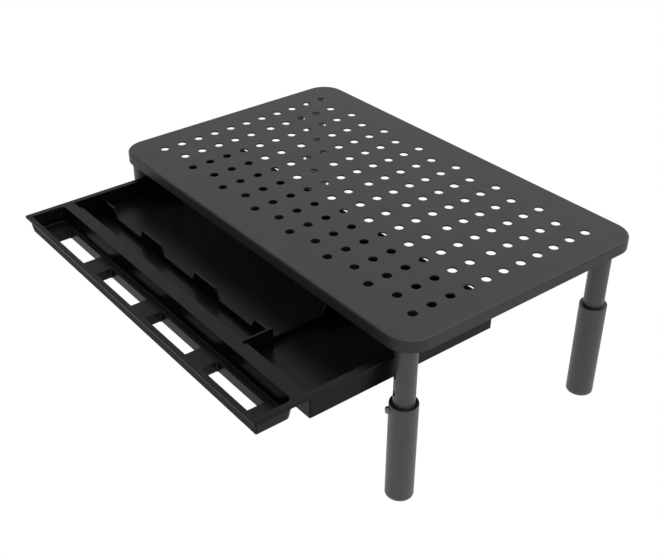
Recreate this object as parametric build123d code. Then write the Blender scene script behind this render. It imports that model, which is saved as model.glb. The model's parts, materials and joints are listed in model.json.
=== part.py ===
from build123d import *
import math
import os

# Desk monitor stand: a perforated steel platform on four telescopic legs, with a sliding plastic drawer.
# Millimetres. The origin is the centre of the platform's top face. +X runs along the length, the drawer
# opens towards -Y and +Z is up. The model stands at full height with the drawer pulled out to its stop.

# Shared values
half_share = 0.5
cut_overrun = 3.0
seat_gap = 0.05

# Platform
platform_length = 370.0
platform_depth = 229.2
platform_corner_radius = 20.0
sheet_thickness = 1.2
skirt_depth = 9.4
bend_radius = 1.5

# Perforation of the platform
vent_diameter = 7.3
vent_row_pitch = 22.53
vent_pitch = 17.1
vent_edge_margin = 23.0
odd_row_start_share = 0.616

# Legs
stand_height = 140.0
leg_inset_x = 13.5
front_leg_inset = 12.7
rear_leg_inset = 24.4
tube_diameter = 15.6
tube_wall = 1.2
leg_travel = 30.0
height_step = 15.0
travel_end_gap = 1.8

# Leg sockets and studs
socket_height = 8.0
stud_diameter = 8.0
stud_tip_gap = 1.0
stud_plug_length = 10.0

# Tube glides
glide_collar_height = 4.0
glide_plug_length = 8.0
glide_running_gap = 0.2

# Sleeves and feet
sleeve_diameter = 20.7
sleeve_wall = 1.2
sleeve_length = 78.9
sleeve_edge_radius = 0.4
foot_thickness = 3.0
foot_plug_length = 4.0
foot_edge_radius = 1.2

# Guide bushes
bush_recess = 0.9
bush_ring_height = 1.6
bush_length = 13.0
bush_running_gap = 0.15
bush_slot_width = 6.6

# Snap buttons and their leaf springs
button_angle = 60.0
button_drop = 5.4
button_diameter = 5.2
button_proud = 2.3
button_edge_radius = 1.2
button_hole_gap = 0.2
tube_hole_gap = 0.3
nose_diameter = 4.2
nose_gap = 0.25
leaf_thickness = 0.4
leaf_width = 5.6
leaf_tube_gap = 0.6
leaf_top_rise = 2.7
leaf_length = 17.5
leaf_weld_length = 5.0
leaf_hole_gap = 0.2

# Drawer outline, rim and walls
drawer_drop = 22.8
drawer_open_reach = 102.4
drawer_length = 210.0
drawer_side_gap = 0.5
rim_thickness = 2.0
rim_overhang = 3.2
rim_front_overhang = 2.1
rim_rear_overhang = 2.3
rim_corner_radius = 0.6
rim_edge_radius = 0.4
drawer_wall = 1.8

# Drawer front tub
tub_length = 28.5
tub_depth = 12.2
tub_floor_thickness = 1.6
tub_rear_wall = 1.5
tub_lean_share = 0.143
tub_corner_radius = 4.0
tub_floor_radius = 0.9
window_width = 54.3
window_pitch = 74.5
window_row_shift = -1.5
window_depth = 13.5
window_front_land = 7.3
first_window_extra = 2.5
window_corner_radius = 1.5
collar_depth = 8.2
collar_wall = 1.4

# Drawer ridge behind the tub
ridge_width = 9.1
ledge_drop = 3.7
ledge_depth = 2.9

# Drawer trays
tray_depth = 20.7
tray_floor_thickness = 2.0
tray_corner_radius = 1.2
pen_tray_width = 21.3
raised_tray_rise = 5.5
raised_tray_thickness = 1.8
raised_tray_right = 82.5
tab_height = 7.6
tab_thickness = 1.6
tab_base = 36.0
tab_top = 27.5
tab_pitch = 78.5
tab_row_shift = 1.5
wall_tab_length = 23.8
side_tab_setback = 47.3
cross_wall_offset = 2.7
cross_wall_thickness = 1.45
cross_wall_top_drop = 1.9

# Drawer stop lugs
lug_length = 3.2
lug_height = 2.0
lug_width = 1.5
lug_inset = 0.5
stop_gap = 0.2

# Rails
rail_thickness = 1.2
rail_side_gap = 0.6
rail_lip_gap = 0.9
rail_running_gap = 0.2
rail_hold_down_gap = 0.4
rail_leg_gap = 1.6
rail_bend_radius = 0.6
hanger_width = 9.0
hanger_foot_reach = 12.0
front_hanger_setback = 16.5
rear_hanger_setback = 13.5

# Worked out from the sizes above
platform_half_length = platform_length * half_share
platform_half_depth = platform_depth * half_share
tube_radius = tube_diameter * half_share
tube_bore_radius = tube_radius - tube_wall
sleeve_radius = sleeve_diameter * half_share
sleeve_bore_radius = sleeve_radius - sleeve_wall
leg_x = platform_half_length - leg_inset_x
front_leg_y = front_leg_inset - platform_half_depth
rear_leg_y = platform_half_depth - rear_leg_inset
height_step_count = int(leg_travel / height_step) + 1

vent_row_reach = int((platform_half_length - vent_edge_margin) / vent_row_pitch)
vent_reach_steps = (platform_half_depth - vent_edge_margin) / vent_pitch
even_row_reach = int(vent_reach_steps)
odd_row_side_count = int(vent_reach_steps - odd_row_start_share) + 1

floor_level = -stand_height
sleeve_bottom = floor_level + foot_thickness
sleeve_top = sleeve_bottom + sleeve_length
foot_plug_top = sleeve_bottom + foot_plug_length
tube_top = -sheet_thickness - socket_height
tube_bottom = foot_plug_top + leg_travel + travel_end_gap + glide_collar_height
button_level = sleeve_top - button_drop
button_radius = button_diameter * half_share
nose_radius = nose_diameter * half_share
leaf_inner_radius = tube_radius + leaf_tube_gap
leaf_outer_radius = leaf_inner_radius + leaf_thickness

rim_top = -drawer_drop
rim_underside = rim_top - rim_thickness
rim_half_width = leg_x - tube_radius - drawer_side_gap
drawer_half_width = rim_half_width - rim_overhang
drawer_inner_half = drawer_half_width - drawer_wall
rim_front = -platform_half_depth - drawer_open_reach
rim_rear = rim_front + drawer_length
tub_wall_front = rim_front + rim_front_overhang
tub_front = tub_wall_front + drawer_wall
tub_rear = tub_front + tub_length
tub_floor = rim_top - tub_depth
tub_underside = tub_floor - tub_floor_thickness
collar_bottom = tub_floor - collar_depth
window_front = tub_front + window_front_land
window_rear = window_front + window_depth
window_row_length = (drawer_inner_half - tub_depth * tub_lean_share) / half_share
window_count = int((window_row_length + window_pitch - window_width) / window_pitch)
ridge_rear = tub_rear + ridge_width
step_front = ridge_rear - drawer_wall
ledge_top = rim_top - ledge_drop
tray_front = ridge_rear + ledge_depth
tray_inner_front = tray_front + drawer_wall
tray_rear = rim_rear - rim_rear_overhang
tray_inner_rear = tray_rear - drawer_wall
tray_bottom = rim_top - tray_depth
tray_floor = tray_bottom + tray_floor_thickness
raised_tray_floor = tray_floor + raised_tray_rise
raised_tray_front = tray_inner_front + pen_tray_width
tab_crest = raised_tray_floor + tab_height
cross_wall_left = raised_tray_right + cross_wall_offset
cross_wall_top = rim_top - cross_wall_top_drop

lug_front = rim_rear - lug_inset - lug_length
lug_outer = rim_half_width - lug_inset
rail_front = front_leg_y + sleeve_radius + rail_leg_gap
rail_rear = rear_leg_y - sleeve_radius - rail_leg_gap
rail_web_inner = rim_half_width + rail_side_gap
rail_web_outer = rail_web_inner + rail_thickness
rail_lip_reach = drawer_half_width + rail_lip_gap
rail_lip_top = rim_underside - rail_running_gap
rail_bottom = rail_lip_top - rail_thickness
hold_down_underside = rim_top + rail_hold_down_gap
rail_top = hold_down_underside + rail_thickness
hold_down_rear = lug_front - stop_gap


def rectangle(x_low, x_high, y_low, y_high):
    """A rectangle between two corners."""
    centre = Pos((x_low + x_high) * half_share, (y_low + y_high) * half_share, 0)
    return centre * Rectangle(x_high - x_low, y_high - y_low)


def rounded_rectangle(x_low, x_high, y_low, y_high, radius):
    """A rectangle between two corners, with round corners."""
    centre = Pos((x_low + x_high) * half_share, (y_low + y_high) * half_share, 0)
    return centre * RectangleRounded(x_high - x_low, y_high - y_low, radius)


def raise_sketch(sketch, z_low, z_high):
    """A flat sketch given thickness between two levels."""
    return extrude(Pos(0, 0, z_low) * sketch, amount=z_high - z_low)


def profile_along_x(points, x_low, x_high):
    """A closed outline of (y, z) points drawn out along X."""
    face = make_face(Polyline(*points, close=True))
    return extrude(Plane.YZ.offset(x_low) * face, amount=x_high - x_low)


def profile_along_y(points, y_low, y_high):
    """A closed outline of (x, z) points drawn out along Y."""
    face = make_face(Polyline(*points, close=True))
    return extrude(Plane.XZ.offset(-y_high) * face, amount=y_high - y_low)


def ring(outer_radius, inner_radius, z_low, z_high):
    """A round tube between two levels."""
    return raise_sketch(Circle(outer_radius) - Circle(inner_radius), z_low, z_high)


def disc(radius, z_low, z_high):
    """A round bar between two levels."""
    return raise_sketch(Circle(radius), z_low, z_high)


def button_bore(radius, level):
    """A cutter from the leg's axis outwards, on the button's side of the leg."""
    reach = sleeve_radius + cut_overrun
    return Pos(0, 0, level) * extrude(Plane.YZ * Circle(radius), amount=reach)


def vent_places():
    """Centres of the platform's holes: staggered rows across its depth."""
    places = []
    even_steps = list(range(-even_row_reach, even_row_reach + 1))
    odd_steps = [odd_row_start_share + step for step in range(odd_row_side_count)]
    odd_steps += [-step for step in odd_steps]
    for row in range(-vent_row_reach, vent_row_reach + 1):
        steps = odd_steps if row % 2 == 0 else even_steps
        places += [(row * vent_row_pitch, step * vent_pitch) for step in steps]
    return places


def platform():
    """Pressed sheet with a folded skirt and the field of holes."""
    outline = RectangleRounded(platform_length, platform_depth, platform_corner_radius)
    pan = raise_sketch(outline, -skirt_depth, 0)
    pan = fillet(pan.edges().group_by(Axis.Z)[-1], bend_radius)
    inner_length = platform_length - sheet_thickness - sheet_thickness
    inner_depth = platform_depth - sheet_thickness - sheet_thickness
    hollow = RectangleRounded(inner_length, inner_depth, platform_corner_radius - sheet_thickness)
    pan -= raise_sketch(hollow, -skirt_depth - cut_overrun, -sheet_thickness)
    vents = Sketch() + [Pos(x, y, 0) * Circle(vent_diameter * half_share) for x, y in vent_places()]
    return pan - raise_sketch(vents, -sheet_thickness - cut_overrun, cut_overrun)


def leg_socket():
    """Threaded boss welded under the platform."""
    return ring(tube_radius, stud_diameter * half_share + seat_gap, tube_top, -sheet_thickness)


def leg_stud():
    """Plug pressed into the top of a tube, with the stud that screws into the socket."""
    plug = disc(tube_bore_radius - seat_gap, tube_top - stud_plug_length, tube_top)
    stud = disc(stud_diameter * half_share, tube_top, -sheet_thickness - stud_tip_gap)
    return plug + stud


def leg_tube():
    """Upper leg tube with one hole for each height, on the button's side."""
    tube = ring(tube_radius, tube_bore_radius, tube_bottom, tube_top)
    for step in range(height_step_count):
        level = button_level + step * height_step
        tube -= button_bore(button_radius + tube_hole_gap, level)
    return tube


def tube_glide():
    """Plastic plug in the lower end of a tube, whose collar runs in the sleeve."""
    collar = disc(sleeve_bore_radius - glide_running_gap, tube_bottom - glide_collar_height, tube_bottom)
    plug = disc(tube_bore_radius - seat_gap, tube_bottom, tube_bottom + glide_plug_length)
    return collar + plug


def leg_sleeve():
    """Lower leg sleeve with the button's hole."""
    sleeve = ring(sleeve_radius, sleeve_bore_radius, sleeve_bottom, sleeve_top)
    mouth_edges = sleeve.edges().filter_by(GeomType.CIRCLE).group_by(Axis.Z)[-1]
    sleeve = fillet(mouth_edges, sleeve_edge_radius)
    return sleeve - button_bore(button_radius + button_hole_gap, button_level)


def guide_bush():
    """Plastic liner in the sleeve's mouth, slotted where the button and its spring sit."""
    bush_top = sleeve_top - bush_recess
    inner_radius = tube_radius + bush_running_gap
    bush = ring(sleeve_bore_radius - seat_gap, inner_radius, bush_top - bush_length, bush_top)
    slot_half = bush_slot_width * half_share
    slot = rectangle(0, sleeve_radius, -slot_half, slot_half)
    slot_low = bush_top - bush_length - cut_overrun
    return bush - raise_sketch(slot, slot_low, bush_top - bush_ring_height)


def foot():
    """Rubber end of a leg: a plug in the sleeve and a round-edged pad under it."""
    pad = disc(sleeve_radius, floor_level, sleeve_bottom)
    pad = fillet(pad.edges().group_by(Axis.Z)[0], foot_edge_radius)
    return pad + disc(sleeve_bore_radius - seat_gap, sleeve_bottom, foot_plug_top)


def snap_button():
    """Turned metal button: a domed head through the sleeve and a nose that enters the tube's hole."""
    nose_end = tube_radius + nose_gap
    shoulder = leaf_outer_radius + seat_gap
    tip = sleeve_radius + button_proud
    outline = Polyline(
        (nose_end, 0),
        (nose_end, nose_radius),
        (shoulder, nose_radius),
        (shoulder, button_radius),
        (tip, button_radius),
        (tip, 0),
        close=True,
    )
    button = revolve(make_face(outline), axis=Axis.X)
    button = fillet(button.edges().group_by(Axis.X)[-1], button_edge_radius)
    return Pos(0, 0, button_level) * button


def button_spring():
    """Thin curved leaf in the gap between tube and sleeve, welded to the sleeve at its lower end."""
    leaf_half = leaf_width * half_share
    strip = rectangle(0, sleeve_radius, -leaf_half, leaf_half)
    leaf_top = button_level + leaf_top_rise
    leaf_low = leaf_top - leaf_length
    leaf = raise_sketch((Circle(leaf_outer_radius) - Circle(leaf_inner_radius)) & strip, leaf_low, leaf_top)
    weld = (Circle(sleeve_bore_radius - seat_gap) - Circle(leaf_inner_radius)) & strip
    leaf += raise_sketch(weld, leaf_low, leaf_low + leaf_weld_length)
    return leaf - button_bore(nose_radius + leaf_hole_gap, button_level)


def rail():
    """Right-hand rail: a folded channel hung from the platform by two straps, open towards the drawer."""
    angle_points = [
        (rail_lip_reach, rail_bottom),
        (rail_web_outer, rail_bottom),
        (rail_web_outer, rail_top),
        (rail_web_inner, rail_top),
        (rail_web_inner, rail_lip_top),
        (rail_lip_reach, rail_lip_top),
    ]
    hold_down_points = [
        (rail_lip_reach, hold_down_underside),
        (rail_web_outer, hold_down_underside),
        (rail_web_outer, rail_top),
        (rail_lip_reach, rail_top),
    ]
    strap_points = [
        (rail_web_inner, rail_lip_top),
        (rail_web_outer, rail_lip_top),
        (rail_web_outer, -sheet_thickness - rail_thickness),
        (rail_web_inner + hanger_foot_reach, -sheet_thickness - rail_thickness),
        (rail_web_inner + hanger_foot_reach, -sheet_thickness),
        (rail_web_inner, -sheet_thickness),
    ]
    folded = profile_along_y(angle_points, rail_front, rail_rear)
    folded += profile_along_y(hold_down_points, rail_front, hold_down_rear)
    front_strap = rail_front + front_hanger_setback
    rear_strap = rail_rear - rear_hanger_setback
    for middle in (front_strap, rear_strap):
        strap_low = middle - hanger_width * half_share
        folded += profile_along_y(strap_points, strap_low, strap_low + hanger_width)
    bends = folded.edges().filter_by(Axis.Y).group_by(Axis.Z)[0].sort_by(Axis.X)[-1]
    return fillet(bends, rail_bend_radius)


def drawer_rim():
    """Flat rim round the drawer, open over the trays. Its part in front of them is the top of the ridge."""
    rim = rounded_rectangle(-rim_half_width, rim_half_width, rim_front, rim_rear, rim_corner_radius)
    rim = raise_sketch(rim, rim_underside, rim_top)
    rim = fillet(rim.edges().group_by(Axis.Z)[-1], rim_edge_radius)
    opening = rectangle(-drawer_inner_half, drawer_inner_half, ridge_rear, tray_inner_rear)
    return rim - raise_sketch(opening, rim_underside - cut_overrun, rim_top + cut_overrun)


def tub_block(half_width, front, rear, corner_radius, datum, high, low):
    """A block with round rear corners, whose sides lean in below the datum level for the mould's draft."""
    sections = []
    for level in (high, low):
        inset = (datum - level) * tub_lean_share
        outline = rectangle(inset - half_width, half_width - inset, front + inset, rear - inset)
        outline = fillet(outline.vertices().group_by(Axis.Y)[-1], corner_radius)
        sections.append(Pos(0, 0, level) * outline)
    return loft(sections, ruled=True)


def tub_outside():
    """The front tub as a full block, with the collars that hang below its windows."""
    outer_radius = tub_corner_radius + tub_rear_wall
    outer_rear = tub_rear + tub_rear_wall
    block = tub_block(
        drawer_half_width, tub_wall_front, outer_rear, outer_radius, rim_underside, rim_underside, tub_underside
    )
    collars = tub_windows(collar_wall)
    return block + raise_sketch(collars, collar_bottom, tub_underside)


def tub_inside():
    """The space inside the front tub, with a round edge along the floor."""
    space_top = rim_top + cut_overrun
    space = tub_block(
        drawer_inner_half, tub_front, tub_rear, tub_corner_radius, rim_top, space_top, tub_floor
    )
    return fillet(space.edges().group_by(Axis.Z)[0], tub_floor_radius)


def tub_windows(margin):
    """Outlines of the windows, each grown by a margin. The first one reaches further back."""
    middle = (window_count - 1) * half_share
    half_window = window_width * half_share + margin
    radius = window_corner_radius + margin
    outlines = Sketch()
    for step in range(window_count):
        centre = window_row_shift + (step - middle) * window_pitch
        rear = window_rear + margin
        if step == 0:
            rear += first_window_extra
        outlines += rounded_rectangle(
            centre - half_window, centre + half_window, window_front - margin, rear, radius
        )
    return outlines


def drawer_step():
    """Step down from the ridge to the tray's front wall, with a closed cheek at each end."""
    step_underside = ledge_top - drawer_wall
    step_points = [
        (step_front, rim_underside),
        (step_front, step_underside),
        (tray_inner_front, step_underside),
        (tray_inner_front, ledge_top),
        (ridge_rear, ledge_top),
        (ridge_rear, rim_underside),
    ]
    step = profile_along_x(step_points, -drawer_inner_half, drawer_inner_half)
    cheeks = rectangle(drawer_inner_half, drawer_half_width, step_front, tray_inner_front)
    cheeks += rectangle(-drawer_half_width, -drawer_inner_half, step_front, tray_inner_front)
    return step + raise_sketch(cheeks, step_underside, rim_underside)


def drawer_trays():
    """Tray body: thin walls, a low floor, and a raised floor at the rear left that is hollow below."""
    outline = rounded_rectangle(
        -drawer_half_width, drawer_half_width, tray_front, tray_rear, tray_corner_radius
    )
    body = raise_sketch(outline, tray_bottom, rim_underside)
    inside = rectangle(-drawer_inner_half, drawer_inner_half, tray_inner_front, tray_inner_rear)
    body -= raise_sketch(inside, tray_floor, rim_underside + cut_overrun)
    front_band = rectangle(-drawer_inner_half, drawer_inner_half, tray_front - cut_overrun, tray_inner_front)
    body -= raise_sketch(front_band, ledge_top, rim_underside + cut_overrun)
    raised = rectangle(-drawer_inner_half, raised_tray_right, raised_tray_front, tray_inner_rear)
    body += raise_sketch(raised, tray_bottom, raised_tray_floor)
    hollow = rectangle(
        -drawer_inner_half,
        raised_tray_right - drawer_wall,
        raised_tray_front + drawer_wall,
        tray_inner_rear,
    )
    return body - raise_sketch(hollow, tray_bottom - cut_overrun, raised_tray_floor - raised_tray_thickness)


def tab_outline(low, high, low_slope, high_slope):
    """Trapezoid tab: its base ends, and how far each end leans in towards the crest."""
    return [
        (low, raised_tray_floor),
        (high, raised_tray_floor),
        (high - high_slope, tab_crest),
        (low + low_slope, tab_crest),
    ]


def drawer_tabs():
    """Low tabs along the raised tray's front and right edges, and the wall beside the pen tray."""
    slope = (tab_base - tab_top) * half_share
    half_base = tab_base * half_share
    left_end = -drawer_inner_half
    front_tabs = [tab_outline(left_end, left_end + wall_tab_length, 0, slope)]
    for step in (-1, 0):
        centre = tab_row_shift + step * tab_pitch
        front_tabs.append(tab_outline(centre - half_base, centre + half_base, slope, slope))
    last_low = tab_row_shift + tab_pitch - half_base
    front_tabs.append(tab_outline(last_low, raised_tray_right, slope, 0))
    tab_rear = raised_tray_front + tab_thickness
    tabs = [profile_along_y(points, raised_tray_front, tab_rear) for points in front_tabs]
    side_low = raised_tray_front + side_tab_setback
    side_points = tab_outline(side_low, side_low + tab_base, slope, slope)
    tabs.append(profile_along_x(side_points, raised_tray_right - tab_thickness, raised_tray_right))
    cross_right = cross_wall_left + cross_wall_thickness
    cross_points = [
        (tray_inner_front, tray_floor),
        (tab_rear, tray_floor),
        (tab_rear, cross_wall_top),
        (ridge_rear, cross_wall_top),
        (ridge_rear, ledge_top),
        (tray_inner_front, ledge_top),
    ]
    tabs.append(profile_along_x(cross_points, cross_wall_left, cross_right))
    link = rectangle(raised_tray_right, cross_wall_left, raised_tray_front, tab_rear)
    tabs.append(raise_sketch(link, tray_floor, raised_tray_floor))
    return tabs


def drawer():
    """The whole moulding, with its two stop lugs on the rear corners of the rim."""
    moulding = drawer_rim() + tub_outside() - tub_inside()
    moulding -= raise_sketch(tub_windows(0), collar_bottom - cut_overrun, tub_floor + cut_overrun)
    moulding += drawer_step() + drawer_trays()
    for tab in drawer_tabs():
        moulding += tab
    lugs = rectangle(lug_outer - lug_width, lug_outer, lug_front, lug_front + lug_length)
    lugs += rectangle(-lug_outer, lug_width - lug_outer, lug_front, lug_front + lug_length)
    return moulding + raise_sketch(lugs, rim_underside, rim_top + lug_height)


# The four legs: a name, which side in X and which end in Y
legs = [
    ("front_left", -1, -1, front_leg_y),
    ("front_right", 1, -1, front_leg_y),
    ("rear_left", -1, 1, rear_leg_y),
    ("rear_right", 1, 1, rear_leg_y),
]

leg_pieces = {
    "leg_socket": leg_socket(),
    "leg_tube": leg_tube(),
    "tube_glide": tube_glide(),
    "leg_sleeve": leg_sleeve(),
    "guide_bush": guide_bush(),
    "foot": foot(),
    "snap_button": snap_button(),
    "button_spring": button_spring(),
}


def leg_place(side, end, y):
    """Where a leg stands, turned so that its button looks inwards and away from the platform's middle."""
    angle = math.radians(button_angle)
    turn = math.degrees(math.atan2(end * math.sin(angle), -side * math.cos(angle)))
    return Pos(side * leg_x, y, 0) * Rot(0, 0, turn)


nodes = {"platform": platform(), "drawer": drawer()}
nodes["rail_right"] = rail()
nodes["rail_left"] = mirror(nodes["rail_right"], about=Plane.YZ)
studs = []
for leg_name, side, end, y in legs:
    place = leg_place(side, end, y)
    studs.append(place * leg_stud())
    for piece_name, piece in leg_pieces.items():
        nodes[piece_name + "_" + leg_name] = place * piece
nodes["leg_studs"] = Compound(children=studs)

os.makedirs("parts", exist_ok=True)
for node_name, node in nodes.items():
    export_step(node, os.path.join("parts", node_name + ".step"))
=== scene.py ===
import json
import math

import bmesh
import bpy
from mathutils import Matrix, Vector


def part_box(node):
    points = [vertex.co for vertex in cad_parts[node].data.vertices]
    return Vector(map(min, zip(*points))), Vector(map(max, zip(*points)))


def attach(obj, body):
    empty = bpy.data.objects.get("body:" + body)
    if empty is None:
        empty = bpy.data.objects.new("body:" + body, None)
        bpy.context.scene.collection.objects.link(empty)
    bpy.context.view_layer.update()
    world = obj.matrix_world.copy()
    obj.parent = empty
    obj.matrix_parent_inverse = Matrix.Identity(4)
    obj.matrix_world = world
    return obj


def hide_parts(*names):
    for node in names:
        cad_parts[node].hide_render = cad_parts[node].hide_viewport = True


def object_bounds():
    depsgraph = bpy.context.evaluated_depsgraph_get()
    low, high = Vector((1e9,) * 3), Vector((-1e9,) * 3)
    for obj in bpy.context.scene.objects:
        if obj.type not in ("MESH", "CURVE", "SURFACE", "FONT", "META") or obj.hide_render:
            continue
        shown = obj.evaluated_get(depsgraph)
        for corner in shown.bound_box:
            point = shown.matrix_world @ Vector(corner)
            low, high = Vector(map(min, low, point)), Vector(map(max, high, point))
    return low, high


# Desk monitor stand: finishes, small made details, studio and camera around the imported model.
# Metres, in the model's own frame: origin at the centre of the platform's top face, drawer towards -Y.

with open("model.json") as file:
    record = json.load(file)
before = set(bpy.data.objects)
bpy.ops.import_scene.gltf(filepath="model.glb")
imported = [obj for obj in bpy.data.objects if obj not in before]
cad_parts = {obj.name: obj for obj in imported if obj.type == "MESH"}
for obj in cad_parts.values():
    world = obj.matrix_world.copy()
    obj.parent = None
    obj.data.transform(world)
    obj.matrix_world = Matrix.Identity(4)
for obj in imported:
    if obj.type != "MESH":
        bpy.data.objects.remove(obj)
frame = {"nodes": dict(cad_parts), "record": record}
cad_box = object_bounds()

MM = 0.001

# Camera, as fitted to the photograph
PHOTO_WIDTH = 662
PHOTO_HEIGHT = 554
FOCAL_PIXELS = 1053.44
AXIS_PIXEL = (282.60, 274.96)
CAMERA_PLACE = (570.63 * MM, -486.01 * MM, 396.15 * MM)
CAMERA_AZIMUTH = 54.353
CAMERA_ELEVATION = 32.612
CAMERA_ROLL = -1.245
SENSOR_WIDTH = 36.0

# Studio: a sky that brightens upwards and towards one side, a white horizon, a lit floor and a soft key light
HORIZON_STRENGTH = 0.27
ZENITH_STRENGTH = 1.75
SKY_CURVE = 1.4
BRIGHT_SIDE = (0.2, 0.86, 0.0)
HORIZON_GLOW = 1.0
HORIZON_GLOW_FADE = (0.18, 0.26)
FLOOR_SIZE = 80.0
FLOOR_GLOW = 1.0
KEY_POWER = 2.0
KEY_SIZE = 1.2
KEY_PLACE = (0.2, -0.9, 1.4)

# Patterns that all finishes share
MOTTLE_DETAIL = 4.0
MOTTLE_BREAKUP = 0.6
MOTTLE_RANGE = (0.3, 0.7)
GRAIN_DETAIL = 2.0
GRAIN_BREAKUP = 0.5
RELIEF_STRENGTH = 0.6

# Sockets of a colour mix, which share their names with those of its other kinds
MIX_SHARE = 0
MIX_FIRST_COLOUR = 6
MIX_SECOND_COLOUR = 7
MIX_COLOUR = 2

# Plate's corner and bend, as in the model, and the gloss over the bend
PLATE_CORNER = 20.0 * MM
PLATE_BEND = 1.5 * MM
BEND_GLOSS = 0.3
BEND_GLOSS_ROUGHNESS = 0.25
BEND_GLOSS_FULL = 0.5 * PLATE_BEND
BEND_GLOSS_FADE = (0.4 * PLATE_BEND, 0.8 * PLATE_BEND)

# Drawer's front wall, as in the model, and the grain on its outside
FRONT_WALL_Y = -212.6 * MM
RIM_UNDERSIDE = -24.8 * MM
FRONT_GRAIN_EDGE = 0.3 * MM
FRONT_GRAIN_ROUGHNESS = 0.66

# Modelling
ROUND_SIDES = 64
SMOOTH_ANGLE = math.radians(40)
MERGE_GAP = 0.001 * MM
PICK_SLACK = 0.01 * MM
FLAT_NORMAL = 0.9

# Legs and the collars on their sleeves
LEGS = ("front_left", "front_right", "rear_left", "rear_right")
COLLAR_OUTER = 10.2 * MM
COLLAR_NECK = 9.05 * MM
COLLAR_BORE = 8.0 * MM
COLLAR_THICKNESS = 0.5 * MM
COLLAR_NECK_DEPTH = 0.9 * MM
COLLAR_EDGE = 0.15 * MM
COLLAR_EDGE_STEPS = 3

# Feet
FOOT_EDGE = 1.2 * MM
FOOT_EDGE_STEPS = 6
FOOT_PAD_HEIGHT = 3.0 * MM
FOOT_PLUG_RADIUS = 9.1 * MM
FOOT_LAND = 1.4 * MM
FOOT_GROOVES = 2
FOOT_GROOVE = 1.0 * MM
FOOT_GROOVE_DEPTH = 0.7 * MM
FOOT_INSET_SHRINK = 0.99

# Weld beads round the leg sockets
BEAD_RADIUS = 1.2 * MM
BEAD_SIDES = 12
BEAD_SEGMENTS = 60
BEAD_RIPPLE_SEGMENTS = 3
BEAD_RIPPLE_DEPTH = 0.25 * MM

# Round marks, both the spot welds and the pin marks
MARK_SIDES = 32
MARK_EDGE_STEPS = 2

# Spot welds of the rails' hangers
SPOT_RADIUS = 3.0 * MM
SPOT_HEIGHT = 0.4 * MM
SPOT_RIM = 0.7 * MM
SPOT_DISH = 0.25 * MM
HANGER_SPOT_X = 170.0 * MM
HANGER_FRONT_Y = -73.45 * MM
HANGER_REAR_Y = 64.75 * MM
HANGER_UNDERSIDE = -2.4 * MM

# Pin marks under the pen tray
PIN_RADIUS = 2.5 * MM
PIN_HEIGHT = 0.3 * MM
PIN_RIM = 0.4 * MM
PIN_DISH = 0.15 * MM
PIN_COLUMNS = 5
PIN_MARGIN = 18.0 * MM
PEN_TRAY_MIDDLE_Y = -161.0 * MM


def linear(hex_colour):
    """An sRGB hex colour as linear red, green, blue and alpha."""
    channels = [int(hex_colour[start:start + 2], 16) / 255 for start in (1, 3, 5)]
    curve = [c / 12.92 if c <= 0.04045 else ((c + 0.055) / 1.055) ** 2.4 for c in channels]
    return (*curve, 1.0)


def per_metre(millimetres):
    """The texture scale that gives a pattern of this real size."""
    return 1 / (millimetres * MM)


def add_node(tree, kind, settings=None, links=None):
    """A node with its input values or properties set, and its inputs linked from other nodes' outputs.

    An input goes by its name, or by its number where several share a name.
    """
    node = tree.nodes.new(kind)
    for name, value in (settings or {}).items():
        if isinstance(name, int) or name in node.inputs:
            node.inputs[name].default_value = value
        else:
            setattr(node, name, value)
    for name, source in (links or {}).items():
        tree.links.new(source, node.inputs[name])
    return node


def new_material(name):
    """An empty material with its output, its shader and the object's own coordinates."""
    material = bpy.data.materials.new(name)
    material.use_nodes = True
    tree = material.node_tree
    tree.nodes.clear()
    place = add_node(tree, "ShaderNodeTexCoord").outputs["Object"]
    shader = add_node(tree, "ShaderNodeBsdfPrincipled")
    add_node(tree, "ShaderNodeOutputMaterial", links={"Surface": shader.outputs["BSDF"]})
    return material, tree, place, shader


def finish_surface(tree, place, shader, colours, mottle_mm, roughness, grain_mm, grain_depth_mm):
    """Colour that drifts between two tones, roughness that drifts with it, and a fine relief.

    A grain that is too fine to show is drawn coarser than it is, at half a millimetre or more.
    """
    mottle = add_node(
        tree,
        "ShaderNodeTexNoise",
        {"Scale": per_metre(mottle_mm), "Detail": MOTTLE_DETAIL, "Roughness": MOTTLE_BREAKUP},
        {"Vector": place},
    )
    tone = add_node(
        tree,
        "ShaderNodeMix",
        {"data_type": "RGBA", MIX_FIRST_COLOUR: linear(colours[0]), MIX_SECOND_COLOUR: linear(colours[1])},
        {MIX_SHARE: mottle.outputs["Fac"]},
    )
    tree.links.new(tone.outputs[MIX_COLOUR], shader.inputs["Base Color"])
    rough = add_node(
        tree,
        "ShaderNodeMapRange",
        {
            "From Min": MOTTLE_RANGE[0],
            "From Max": MOTTLE_RANGE[1],
            "To Min": roughness[0],
            "To Max": roughness[1],
        },
        {"Value": mottle.outputs["Fac"]},
    )
    tree.links.new(rough.outputs["Result"], shader.inputs["Roughness"])
    grain = add_node(
        tree,
        "ShaderNodeTexNoise",
        {"Scale": per_metre(grain_mm), "Detail": GRAIN_DETAIL, "Roughness": GRAIN_BREAKUP},
        {"Vector": place},
    )
    relief = add_node(
        tree,
        "ShaderNodeBump",
        {"Strength": RELIEF_STRENGTH, "Distance": grain_depth_mm * MM},
        {"Height": grain.outputs["Fac"]},
    )
    tree.links.new(relief.outputs["Normal"], shader.inputs["Normal"])
    return rough.outputs["Result"]


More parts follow.
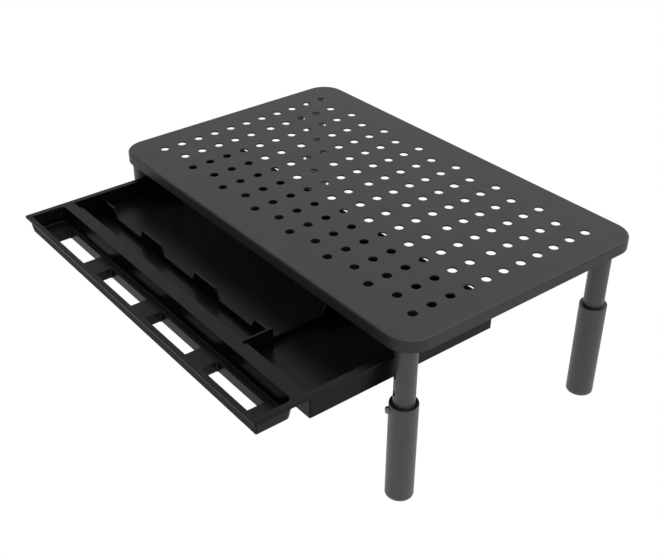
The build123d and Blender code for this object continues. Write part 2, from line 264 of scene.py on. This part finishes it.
def powder_coated_steel():
    """Black powder coat baked on sheet steel: satin, with the faint orange peel of melted powder.

    The melted film draws thin over the plate's bend, so the bend shows as a fine glossier line.
    """
    material, tree, place, shader = new_material("powder_coated_steel")
    finish_surface(
        tree,
        place,
        shader,
        colours=("#1f1f1f", "#232323"),
        mottle_mm=30.0,
        roughness=(0.48, 0.54),
        grain_mm=1.4,
        grain_depth_mm=0.012,
    )
    shader.inputs["IOR"].default_value = 1.37
    gloss_plate_bend(tree, place, shader)
    return material


def gloss_plate_bend(tree, place, shader):
    """A glossy coat over the bend, found by the distance from the plate's corner centres and the height."""
    plate_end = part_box("platform")[1]
    corner_centre = (plate_end.x - PLATE_CORNER, plate_end.y - PLATE_CORNER, 0.0)
    around = add_node(tree, "ShaderNodeVectorMath", {"operation": "ABSOLUTE"}, {0: place})
    beyond = add_node(
        tree,
        "ShaderNodeVectorMath",
        {"operation": "SUBTRACT", 1: corner_centre},
        {0: around.outputs["Vector"]},
    )
    outside = add_node(
        tree,
        "ShaderNodeVectorMath",
        {"operation": "MAXIMUM", 1: (0, 0, 0)},
        {0: beyond.outputs["Vector"]},
    )
    level = add_node(
        tree,
        "ShaderNodeVectorMath",
        {"operation": "MULTIPLY", 1: (1, 1, 0)},
        {0: outside.outputs["Vector"]},
    )
    reach = add_node(tree, "ShaderNodeVectorMath", {"operation": "LENGTH"}, {0: level.outputs["Vector"]})
    height = add_node(tree, "ShaderNodeSeparateXYZ", links={"Vector": place})
    near_side = add_node(
        tree,
        "ShaderNodeMapRange",
        {
            "From Min": PLATE_CORNER - PLATE_BEND,
            "From Max": PLATE_CORNER - BEND_GLOSS_FULL,
            "To Max": BEND_GLOSS,
        },
        {"Value": reach.outputs["Value"]},
    )
    near_top = add_node(
        tree,
        "ShaderNodeMapRange",
        {"From Min": -BEND_GLOSS_FADE[1], "From Max": -BEND_GLOSS_FADE[0]},
        {"Value": height.outputs["Z"]},
    )
    bend = add_node(
        tree,
        "ShaderNodeMath",
        {"operation": "MULTIPLY"},
        {0: near_side.outputs["Result"], 1: near_top.outputs["Result"]},
    )
    tree.links.new(bend.outputs["Value"], shader.inputs["Coat Weight"])
    shader.inputs["Coat Roughness"].default_value = BEND_GLOSS_ROUGHNESS


def powder_coated_tube():
    """The same coat on drawn tube, a little glossier; its tone is painted a shade lighter than the plate's,
    as painted light that brightens the legs.
    """
    material, tree, place, shader = new_material("powder_coated_tube")
    finish_surface(
        tree,
        place,
        shader,
        # Painted light: the same coat's tones set lighter than the plate's, so the tubes and sleeves show
        # brighter
        colours=("#2f2f2f", "#333333"),
        mottle_mm=20.0,
        roughness=(0.40, 0.46),
        grain_mm=1.2,
        grain_depth_mm=0.01,
    )
    shader.inputs["IOR"].default_value = 1.5
    return material


def moulded_abs():
    """Black ABS from a fine spark-eroded mould: satin, so walls and tabs mirror softly in the floors.

    The outside of the front wall, which hands pull, has a coarser matt grain.
    """
    material, tree, place, shader = new_material("moulded_abs")
    satin = finish_surface(
        tree,
        place,
        shader,
        colours=("#080808", "#0a0a0a"),
        mottle_mm=40.0,
        roughness=(0.29, 0.35),
        grain_mm=0.8,
        grain_depth_mm=0.012,
    )
    shader.inputs["IOR"].default_value = 1.2
    where = add_node(tree, "ShaderNodeSeparateXYZ", links={"Vector": place})
    front = add_node(
        tree,
        "ShaderNodeMapRange",
        {
            "From Min": FRONT_WALL_Y - FRONT_GRAIN_EDGE,
            "From Max": FRONT_WALL_Y,
            "To Min": FRONT_GRAIN_ROUGHNESS,
            "To Max": 0.0,
        },
        {"Value": where.outputs["Y"]},
    )
    below_rim = add_node(
        tree,
        "ShaderNodeMapRange",
        {
            "From Min": RIM_UNDERSIDE - FRONT_GRAIN_EDGE,
            "From Max": RIM_UNDERSIDE,
            "To Min": 1.0,
            "To Max": 0.0,
        },
        {"Value": where.outputs["Z"]},
    )
    grained = add_node(
        tree,
        "ShaderNodeMath",
        {"operation": "MULTIPLY"},
        {0: front.outputs["Result"], 1: below_rim.outputs["Result"]},
    )
    rougher = add_node(
        tree,
        "ShaderNodeMath",
        {"operation": "MAXIMUM"},
        {0: satin, 1: grained.outputs["Value"]},
    )
    tree.links.new(rougher.outputs["Value"], shader.inputs["Roughness"])
    return material


def guide_nylon():
    """Black moulded nylon: smooth and slightly waxy."""
    material, tree, place, shader = new_material("guide_nylon")
    finish_surface(
        tree,
        place,
        shader,
        colours=("#0e0e0e", "#121212"),
        mottle_mm=10.0,
        roughness=(0.40, 0.50),
        grain_mm=0.6,
        grain_depth_mm=0.01,
    )
    shader.inputs["IOR"].default_value = 1.42
    return material


def foot_rubber():
    """Dark grey moulded rubber: dry and matt."""
    material, tree, place, shader = new_material("foot_rubber")
    finish_surface(
        tree,
        place,
        shader,
        colours=("#404040", "#464646"),
        mottle_mm=8.0,
        roughness=(0.52, 0.62),
        grain_mm=0.7,
        grain_depth_mm=0.02,
    )
    return material


def plated_steel():
    """Dull zinc-plated steel: grey metal with a soft, slightly cloudy shine."""
    material, tree, place, shader = new_material("plated_steel")
    finish_surface(
        tree,
        place,
        shader,
        colours=("#666664", "#747472"),
        mottle_mm=3.0,
        roughness=(0.36, 0.46),
        grain_mm=0.5,
        grain_depth_mm=0.006,
    )
    shader.inputs["Metallic"].default_value = 1.0
    return material


def dress_nodes():
    """Gives every node of the model its finish. The welded leg sockets are coated together with the plate."""
    finishes = {
        "powder_coated_steel": powder_coated_steel(),
        "black_abs": moulded_abs(),
        "guide_nylon": guide_nylon(),
        "foot_rubber": foot_rubber(),
        "plated_steel": plated_steel(),
    }
    tube_coat_painted_lighter = powder_coated_tube()
    for entry in frame["record"]["subparts"]:
        mesh = frame["nodes"][entry["node"]].data
        mesh.materials.clear()
        # Tubes and sleeves take the coat whose tone is painted lighter than the plate's, as painted light
        if entry["node"].startswith(("leg_tube", "leg_sleeve")):
            mesh.materials.append(tube_coat_painted_lighter)
        elif entry["node"].startswith("leg_socket"):
            mesh.materials.append(finishes["powder_coated_steel"])
        else:
            mesh.materials.append(finishes[entry["material_slot"]])
    return finishes


def edit(piece):
    """Opens a piece for modelling by itself."""
    bpy.ops.object.select_all(action="DESELECT")
    piece.select_set(True)
    bpy.context.view_layer.objects.active = piece
    bpy.ops.object.mode_set(mode="EDIT")


def close(piece):
    """Ends the modelling of a closed piece: faces outwards, round faces smooth."""
    bpy.ops.mesh.select_all(action="SELECT")
    bpy.ops.mesh.remove_doubles(threshold=MERGE_GAP)
    bpy.ops.mesh.normals_make_consistent(inside=False)
    bpy.ops.object.mode_set(mode="OBJECT")
    bpy.ops.object.shade_smooth_by_angle(angle=SMOOTH_ANGLE)
    return piece


def pick(piece, kind, test):
    """Selects only the faces, edges or corners that pass a test, in the piece that is being edited."""
    bpy.ops.mesh.select_mode(type=kind)
    bpy.ops.mesh.select_all(action="DESELECT")
    shape = bmesh.from_edit_mesh(piece.data)
    for item in {"FACE": shape.faces, "EDGE": shape.edges, "VERT": shape.verts}[kind]:
        if test(item):
            item.select_set(True)
    bmesh.update_edit_mesh(piece.data)


def pick_level(piece, level, low=0.0, high=math.inf):
    """Selects the flat faces at a height whose corners all lie between two radii."""

    def fits(face):
        if abs(face.normal.z) < FLAT_NORMAL:
            return False
        if abs(face.calc_center_median().z - level) > PICK_SLACK:
            return False
        radii = [corner.co.xy.length for corner in face.verts]
        return min(radii) > low - PICK_SLACK and max(radii) < high + PICK_SLACK

    pick(piece, "FACE", fits)


def disc(name, radius, low, high, sides=ROUND_SIDES):
    """A round blank on the vertical axis, open for modelling."""
    bpy.ops.object.select_all(action="DESELECT")
    bpy.ops.mesh.primitive_cylinder_add(
        vertices=sides, radius=radius, depth=high - low, location=(0, 0, (low + high) / 2)
    )
    piece = bpy.context.object
    piece.name = name
    piece.data.name = name
    bpy.ops.object.transform_apply(location=True, rotation=True, scale=True)
    edit(piece)
    return piece


def raise_faces(height):
    """Extrudes the selected faces along the vertical axis."""
    bpy.ops.mesh.extrude_region_move(TRANSFORM_OT_translate={"value": (0, 0, height)})


def bush_collar():
    """Black collar of a guide bush: a flange that caps the sleeve's end, with a neck down to the bush."""
    collar = disc("bush_collar", COLLAR_OUTER, 0, COLLAR_THICKNESS)

    def top_edge(edge):
        return min(corner.co.z for corner in edge.verts) > COLLAR_THICKNESS - COLLAR_EDGE

    def bore_cap(face):
        return max(corner.co.xy.length for corner in face.verts) < COLLAR_BORE + COLLAR_EDGE

    pick(collar, "EDGE", top_edge)
    bpy.ops.mesh.bevel(offset=COLLAR_EDGE, segments=COLLAR_EDGE_STEPS, affect="EDGES")
    pick_level(collar, 0)
    bpy.ops.mesh.inset(thickness=COLLAR_OUTER - COLLAR_NECK)
    raise_faces(-COLLAR_NECK_DEPTH)
    bpy.ops.mesh.inset(thickness=COLLAR_NECK - COLLAR_BORE)
    pick_level(collar, COLLAR_THICKNESS)
    bpy.ops.mesh.inset(thickness=COLLAR_OUTER - COLLAR_EDGE - COLLAR_BORE)
    pick(collar, "FACE", bore_cap)
    bpy.ops.mesh.bridge_edge_loops()
    return close(collar)


def tread_foot():
    """Rubber foot: a round-edged pad with grooves under it, and the plug that holds it in the sleeve."""
    low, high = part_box("foot_front_left")
    radius = (high.x - low.x) / 2
    foot = disc("tread_foot", radius, 0, FOOT_PAD_HEIGHT)

    def bottom_edge(edge):
        return max(corner.co.z for corner in edge.verts) < FOOT_EDGE

    pick(foot, "EDGE", bottom_edge)
    bpy.ops.mesh.bevel(offset=FOOT_EDGE, segments=FOOT_EDGE_STEPS, affect="EDGES")
    pick_level(foot, FOOT_PAD_HEIGHT)
    bpy.ops.mesh.inset(thickness=radius - FOOT_PLUG_RADIUS)
    raise_faces(high.z - low.z - FOOT_PAD_HEIGHT)
    pick_level(foot, 0)
    reach = radius - FOOT_EDGE
    grooves = []
    for _ in range(FOOT_GROOVES):
        bpy.ops.mesh.inset(thickness=FOOT_LAND)
        reach -= FOOT_LAND
        bpy.ops.mesh.inset(thickness=FOOT_GROOVE)
        grooves.append((reach - FOOT_GROOVE, reach))
        reach -= FOOT_GROOVE
    for inner, outer in grooves:
        # The corners of an inset circle lie a little inside its nominal radius
        pick_level(foot, 0, inner * FOOT_INSET_SHRINK, outer)
        raise_faces(FOOT_GROOVE_DEPTH)
    return close(foot)


def weld_bead(radius):
    """Rippled fillet weld round a leg socket, flat against the sheet above it."""
    bpy.ops.object.select_all(action="DESELECT")
    bpy.ops.mesh.primitive_torus_add(
        major_radius=radius,
        minor_radius=BEAD_RADIUS,
        major_segments=BEAD_SEGMENTS,
        minor_segments=BEAD_SIDES,
    )
    bead = bpy.context.object
    bead.name = "weld_bead"
    bead.data.name = "weld_bead"
    edit(bead)

    def on_ripple(corner):
        step = math.atan2(corner.co.y, corner.co.x) / math.tau * BEAD_SEGMENTS
        return round(step) % BEAD_RIPPLE_SEGMENTS == 0

    pick(bead, "VERT", on_ripple)
    bpy.ops.transform.shrink_fatten(value=-BEAD_RIPPLE_DEPTH)
    bpy.ops.mesh.select_all(action="SELECT")
    bpy.ops.mesh.bisect(plane_co=(0, 0, 0), plane_no=(0, 0, 1), clear_outer=True, use_fill=True)
    return close(bead)


def dished_mark(name, radius, height, rim, dish):
    """A low round mark with a dished middle, as a press or a pin leaves it, under the face above it."""
    mark = disc(name, radius, -height, 0, MARK_SIDES)
    edge_size = height / 3

    def lower_edge(edge):
        outermost = min(corner.co.xy.length for corner in edge.verts) > radius - rim / 2
        return outermost and max(corner.co.z for corner in edge.verts) < -height / 2

    pick_level(mark, -height)
    bpy.ops.mesh.inset(thickness=rim)
    bpy.ops.mesh.inset(thickness=rim)
    bpy.ops.transform.translate(value=(0, 0, dish))
    pick(mark, "EDGE", lower_edge)
    bpy.ops.mesh.bevel(offset=edge_size, segments=MARK_EDGE_STEPS, affect="EDGES")
    return close(mark)


def place_copies(master, name, places, body, finish):
    """Copies of a piece with their places in their meshes, riding on one body or each on its own.

    The master goes.
    """
    made = []
    for label, place in places.items():
        copy = master.copy()
        copy.data = master.data.copy()
        copy.name = name + "_" + label
        copy.data.name = copy.name
        copy.data.transform(Matrix.Translation(place))
        copy.data.materials.clear()
        copy.data.materials.append(finish)
        bpy.context.scene.collection.objects.link(copy)
        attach(copy, body[label] if isinstance(body, dict) else body)
        made.append(copy)
    bpy.data.objects.remove(master)
    return made


def node_axis(node, level):
    """The point on a round node's vertical axis at a height."""
    low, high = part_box(node)
    return Vector(((low.x + high.x) / 2, (low.y + high.y) / 2, level))


def leg_details(finishes):
    """Collars, treaded feet and weld beads of the four legs."""
    collars = {}
    feet = {}
    beads = {}
    leg_bodies = {}
    for leg in LEGS:
        collars[leg] = node_axis("leg_sleeve_" + leg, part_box("leg_sleeve_" + leg)[1].z)
        feet[leg] = node_axis("foot_" + leg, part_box("foot_" + leg)[0].z)
        beads[leg] = node_axis("leg_socket_" + leg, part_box("leg_socket_" + leg)[1].z)
        leg_bodies[leg] = "leg_" + leg
    socket_low, socket_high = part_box("leg_socket_front_left")
    socket_radius = (socket_high.x - socket_low.x) / 2
    place_copies(bush_collar(), "bush_collar", collars, leg_bodies, finishes["guide_nylon"])
    steel = finishes["powder_coated_steel"]
    place_copies(weld_bead(socket_radius), "weld_bead", beads, "frame", steel)
    rubber = finishes["foot_rubber"]
    for foot in place_copies(tread_foot(), "tread_foot", feet, leg_bodies, rubber):
        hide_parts(foot.name.replace("tread_foot", "foot"))


def underside_marks(finishes):
    """Spot welds that hold the rails' hangers, and pin marks under the drawer's pen tray."""
    spots = {}
    for side, x in (("left", -HANGER_SPOT_X), ("right", HANGER_SPOT_X)):
        spots["front_" + side] = Vector((x, HANGER_FRONT_Y, HANGER_UNDERSIDE))
        spots["rear_" + side] = Vector((x, HANGER_REAR_Y, HANGER_UNDERSIDE))
    spot = dished_mark("spot_weld", SPOT_RADIUS, SPOT_HEIGHT, SPOT_RIM, SPOT_DISH)
    steel = finishes["powder_coated_steel"]
    place_copies(spot, "spot_weld", spots, "frame", steel)
    low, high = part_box("drawer")
    first = low.x + PIN_MARGIN
    pitch = (high.x - low.x - 2 * PIN_MARGIN) / (PIN_COLUMNS - 1)
    pins = {}
    for column in range(PIN_COLUMNS):
        pins[str(column + 1)] = Vector((first + column * pitch, PEN_TRAY_MIDDLE_Y, low.z))
    pin = dished_mark("pin_mark", PIN_RADIUS, PIN_HEIGHT, PIN_RIM, PIN_DISH)
    place_copies(pin, "pin_mark", pins, "drawer", finishes["black_abs"])


def photo_camera():
    """A camera at the place, turn and framing of the photograph."""
    azimuth = math.radians(CAMERA_AZIMUTH)
    elevation = math.radians(CAMERA_ELEVATION)
    roll = math.radians(CAMERA_ROLL)
    backward = Vector(
        (
            math.sin(azimuth) * math.cos(elevation),
            -math.cos(azimuth) * math.cos(elevation),
            math.sin(elevation),
        )
    )
    right = Vector((math.cos(azimuth), math.sin(azimuth), 0))
    up = backward.cross(right)
    turned_right = right * math.cos(roll) + up * math.sin(roll)
    turned_up = up * math.cos(roll) - right * math.sin(roll)
    turn = Matrix((turned_right, turned_up, backward)).transposed()
    data = bpy.data.cameras.new("photo_camera")
    data.sensor_width = SENSOR_WIDTH
    data.lens = FOCAL_PIXELS / PHOTO_WIDTH * SENSOR_WIDTH
    data.shift_x = (PHOTO_WIDTH / 2 - AXIS_PIXEL[0]) / PHOTO_WIDTH
    data.shift_y = (AXIS_PIXEL[1] - PHOTO_HEIGHT / 2) / PHOTO_WIDTH
    camera = bpy.data.objects.new("photo_camera", data)
    camera.matrix_world = Matrix.Translation(CAMERA_PLACE) @ turn.to_4x4()
    bpy.context.scene.collection.objects.link(camera)
    bpy.context.scene.camera = camera


def studio_sky():
    """A white sky that brightens upwards and towards the back, with a white band at the horizon."""
    world = bpy.data.worlds.new("studio")
    world.use_nodes = True
    sky = world.node_tree
    background = sky.nodes["Background"]
    background.inputs["Color"].default_value = linear("#ffffff")
    direction = add_node(sky, "ShaderNodeTexCoord").outputs["Generated"]
    height = add_node(sky, "ShaderNodeSeparateXYZ", links={"Vector": direction}).outputs["Z"]
    curve = add_node(
        sky,
        "ShaderNodeMath",
        {"operation": "POWER", "use_clamp": True, 1: SKY_CURVE},
        {0: height},
    )
    climb = add_node(
        sky,
        "ShaderNodeMapRange",
        {"To Min": HORIZON_STRENGTH, "To Max": ZENITH_STRENGTH},
        {"Value": curve.outputs["Value"]},
    )
    side = add_node(sky, "ShaderNodeVectorMath", {"operation": "DOT_PRODUCT", 1: BRIGHT_SIDE}, {0: direction})
    dome = add_node(
        sky,
        "ShaderNodeMath",
        {"operation": "MULTIPLY_ADD"},
        {0: climb.outputs["Result"], 1: side.outputs["Value"], 2: climb.outputs["Result"]},
    )
    glow = add_node(
        sky,
        "ShaderNodeMapRange",
        {
            "From Min": HORIZON_GLOW_FADE[0],
            "From Max": HORIZON_GLOW_FADE[1],
            "To Min": HORIZON_GLOW,
            "To Max": 0.0,
        },
        {"Value": height},
    )
    strength = add_node(
        sky,
        "ShaderNodeMath",
        {"operation": "MAXIMUM"},
        {0: dome.outputs["Value"], 1: glow.outputs["Result"]},
    )
    sky.links.new(strength.outputs["Value"], background.inputs["Strength"])
    bpy.context.scene.world = world


def studio_floor():
    """A plain white floor, lit evenly from within, under the feet."""
    bpy.ops.object.select_all(action="DESELECT")
    bpy.ops.mesh.primitive_plane_add(size=FLOOR_SIZE, location=(0, 0, cad_box[0][2]))
    floor = bpy.context.object
    floor.name = "studio_floor"
    bpy.ops.object.transform_apply(location=True)
    material, _, _, shader = new_material("lit_white_floor")
    shader.inputs["Base Color"].default_value = linear("#000000")
    shader.inputs["Roughness"].default_value = 1.0
    shader.inputs["Specular IOR Level"].default_value = 0.0
    shader.inputs["Emission Color"].default_value = linear("#ffffff")
    shader.inputs["Emission Strength"].default_value = FLOOR_GLOW
    floor.data.materials.append(material)


def soft_key():
    """One broad soft light from the front, aimed at the platform."""
    light = bpy.data.lights.new("soft_key", "AREA")
    light.energy = KEY_POWER
    light.size = KEY_SIZE
    key = bpy.data.objects.new("soft_key", light)
    key.location = KEY_PLACE
    aim = -Vector(KEY_PLACE)
    key.rotation_euler = aim.to_track_quat("-Z", "Y").to_euler()
    bpy.context.scene.collection.objects.link(key)


def studio():
    """A plain white studio, with the colours shown as they are."""
    bpy.context.scene.view_settings.view_transform = "Standard"
    studio_sky()
    studio_floor()
    soft_key()


finishes = dress_nodes()
leg_details(finishes)
underside_marks(finishes)
photo_camera()
studio()
